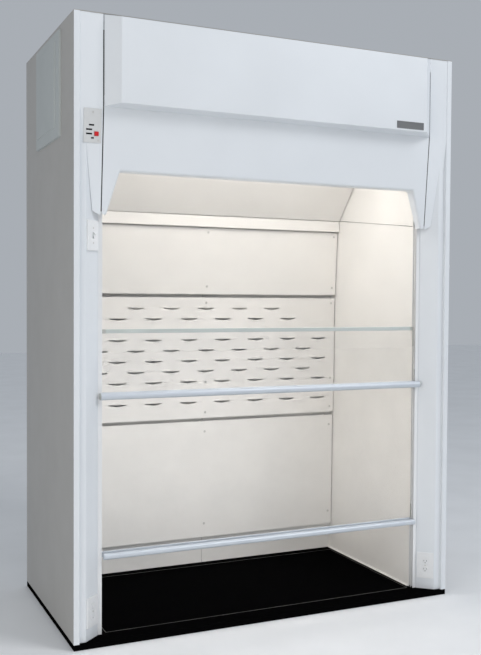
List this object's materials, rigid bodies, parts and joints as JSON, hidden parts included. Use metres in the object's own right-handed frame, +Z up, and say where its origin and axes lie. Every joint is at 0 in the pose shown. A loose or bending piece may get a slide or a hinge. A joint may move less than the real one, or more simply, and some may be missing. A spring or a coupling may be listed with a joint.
{
  "type": "fume hood",
  "caption": "Floor-mounted ducted fume hood with counterbalanced upper and lower vertical sashes, louvred rear baffles, sloping fascia, spill dish and round exhaust collar.",
  "frame": {"origin": "centre of the footprint, on the floor", "axes": "+X to the right seen from the front, +Y to the back, +Z up; the sashes face -Y"},
  "size_m": [1.853, 0.988, 2.642],
  "materials": {
    "worktop": "satin",
    "body_paint": "satin",
    "front_paint": "satin",
    "liner": "matte",
    "baffle": "matte",
    "spacer": "matte",
    "screw_steel": "satin",
    "galvanised": "satin",
    "lens": "matte",
    "lamp": "satin",
    "plate_grey": "satin",
    "track_white": "satin",
    "bumper": "matte",
    "sash_glass": "gloss",
    "sash_metal": "satin",
    "rail_grey": "satin",
    "glide": "matte",
    "pulley": "satin",
    "axle_steel": "satin",
    "cable": "satin",
    "weight_iron": "matte",
    "device_white": "satin",
    "alarm_grey": "satin",
    "window_black": "gloss",
    "button_red": "satin",
    "cover_paint": "satin"
  },
  "bodies": {
    "hood": {"base_slab": "worktop", "side_panels": "body_paint", "rear_panel": "body_paint", "roof_panel": "body_paint", "side_liners": "liner", "rear_liner": "liner", "ceiling_liner": "liner", "canopy_panel": "baffle", "canopy_rail": "baffle", "upper_baffle": "baffle", "middle_baffle": "baffle", "lower_baffle": "baffle", "baffle_spacers": "spacer", "baffle_screws": "screw_steel", "light_housing": "body_paint", "light_lens": "lens", "lamp_tubes": "lamp", "exhaust_duct": "galvanised", "left_post": "front_paint", "right_post": "front_paint", "header_beam": "galvanised", "fascia": "front_paint", "lower_panel": "front_paint", "nameplate": "plate_grey", "sash_tracks": "track_white", "track_bumpers": "bumper", "pulley_brackets": "galvanised", "pulley_axles": "axle_steel", "cable_wraps": "cable", "upper_lift_cables": "cable", "upper_weight_cables": "cable", "lower_lift_cables": "cable", "lower_weight_cables": "cable", "outlet_plates": "device_white", "receptacles": "device_white", "device_boxes": "galvanised", "plate_screws": "screw_steel", "switch_plate": "device_white", "switch_body": "device_white", "alarm_plate": "alarm_grey", "alarm_windows": "window_black", "access_covers": "cover_paint", "junction_box": "galvanised"},
    "upper_sash": {"upper_sash_glass": "sash_glass", "upper_sash_handle": "sash_metal", "upper_handle_plugs": "glide", "upper_sash_glides": "glide"},
    "lower_sash": {"lower_sash_glass": "sash_glass", "lower_top_rail": "rail_grey", "lower_bottom_rail": "sash_metal", "lower_sash_handle": "sash_metal", "lower_sash_glides": "glide"},
    "upper_weights": {"upper_counterweights": "weight_iron"},
    "lower_weights": {"lower_counterweights": "weight_iron"},
    "left_upper_wheel": {"left_upper_pulley": "pulley"},
    "right_upper_wheel": {"right_upper_pulley": "pulley"},
    "left_lower_wheel": {"left_lower_pulley": "pulley"},
    "right_lower_wheel": {"right_lower_pulley": "pulley"},
    "toggle": {"switch_toggle": "device_white"},
    "mute_button": {"alarm_button": "button_red"}
  },
  "joints": [
    {"name": "upper_sash_slide", "type": "slide", "parent": "hood", "child": "upper_sash", "axis": [0, 0, 1], "range_m": [-0.04, 0.4], "deforming": ["upper_lift_cables"]},
    {"name": "lower_sash_slide", "type": "slide", "parent": "hood", "child": "lower_sash", "axis": [0, 0, 1], "range_m": [-0.305, 0.56], "deforming": ["lower_lift_cables"]},
    {"name": "upper_weight_slide", "type": "slide", "parent": "hood", "child": "upper_weights", "axis": [0, 0, 1], "range_m": [-0.4, 0.04], "deforming": ["upper_weight_cables"]},
    {"name": "lower_weight_slide", "type": "slide", "parent": "hood", "child": "lower_weights", "axis": [0, 0, 1], "range_m": [-0.56, 0.305], "deforming": ["lower_weight_cables"]},
    {"name": "left_upper_pulley_spin", "type": "hinge", "parent": "hood", "child": "left_upper_wheel", "pos_m": [-0.81986, -0.32719, 2.48], "axis": [-0.5736, -0.8192, 0], "range_deg": [-55, 515]},
    {"name": "right_upper_pulley_spin", "type": "hinge", "parent": "hood", "child": "right_upper_wheel", "pos_m": [0.81986, -0.32719, 2.48], "axis": [-0.5736, 0.8192, 0], "range_deg": [-55, 515]},
    {"name": "left_lower_pulley_spin", "type": "hinge", "parent": "hood", "child": "left_lower_wheel", "pos_m": [-0.80112, -0.26938, 2.48], "axis": [-0.9659, -0.2588, 0], "range_deg": [-255, 465]},
    {"name": "right_lower_pulley_spin", "type": "hinge", "parent": "hood", "child": "right_lower_wheel", "pos_m": [0.80112, -0.26938, 2.48], "axis": [-0.9659, 0.2588, 0], "range_deg": [-255, 465]},
    {"name": "light_toggle", "type": "hinge", "parent": "hood", "child": "toggle", "pos_m": [-0.82933, -0.39075, 1.679], "axis": [0.7483, 0.6633, 0], "range_deg": [0, 40]},
    {"name": "mute_press", "type": "slide", "parent": "hood", "child": "mute_button", "axis": [0, 0.9965, 0.084], "range_m": [0, 0.002], "stiffness_N_per_m": 400, "springref_m": -0.002}
  ],
  "couplings": [
    {"joint": "upper_weight_slide", "follows": "upper_sash_slide", "ratio": -1},
    {"joint": "lower_weight_slide", "follows": "lower_sash_slide", "ratio": -1},
    {"joint": "left_upper_pulley_spin", "follows": "upper_sash_slide", "rad_per_m": 22.222},
    {"joint": "right_upper_pulley_spin", "follows": "upper_sash_slide", "rad_per_m": 22.222},
    {"joint": "left_lower_pulley_spin", "follows": "lower_sash_slide", "rad_per_m": 14.286},
    {"joint": "right_lower_pulley_spin", "follows": "lower_sash_slide", "rad_per_m": 14.286}
  ]
}
